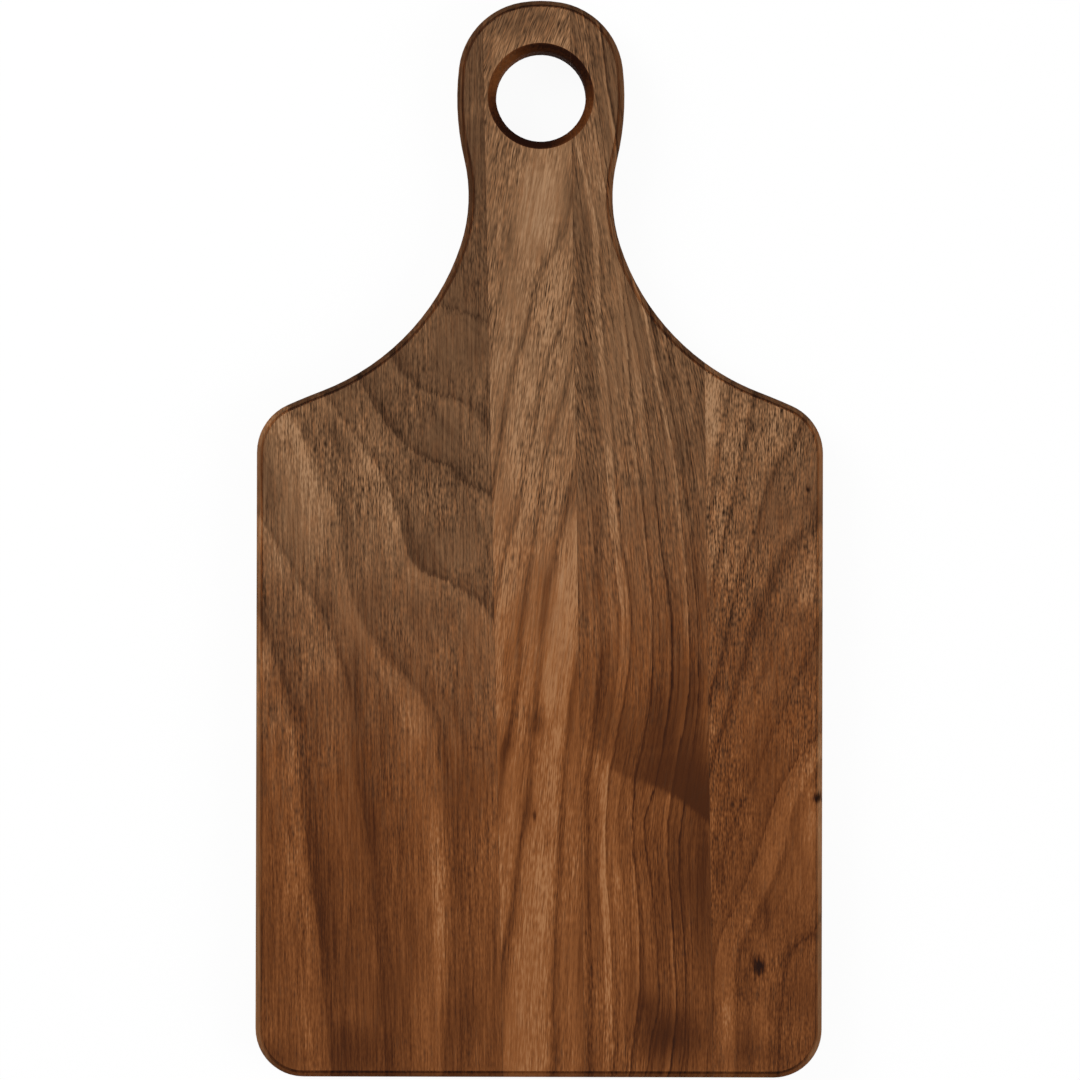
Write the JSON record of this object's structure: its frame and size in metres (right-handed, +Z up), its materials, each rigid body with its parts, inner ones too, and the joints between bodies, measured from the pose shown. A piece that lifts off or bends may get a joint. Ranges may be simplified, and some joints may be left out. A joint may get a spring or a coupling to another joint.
{
  "type": "paddle serving board",
  "caption": "Flat walnut serving board with rounded shoulders, a narrow neck and a hanging hole in its round handle.",
  "frame": {"origin": "middle of the underside, halfway along the length and the width", "axes": "+Y along the board from the foot to the handle, +X across it, +Z up through its thickness, with the board lying flat"},
  "size_m": [0.2138, 0.4064, 0.019],
  "materials": {
    "walnut_figured": "oiled satin",
    "walnut_pale": "oiled satin",
    "walnut_striped": "oiled satin",
    "walnut_brown": "oiled satin",
    "cured_glue": "matte"
  },
  "bodies": {
    "root": {"stave_left": "walnut_figured", "stave_centre_left": "walnut_pale", "stave_centre_right": "walnut_striped", "stave_right": "walnut_brown", "glue_line_left": "cured_glue", "glue_line_centre": "cured_glue", "glue_line_right": "cured_glue"}
  },
  "joints": []
}
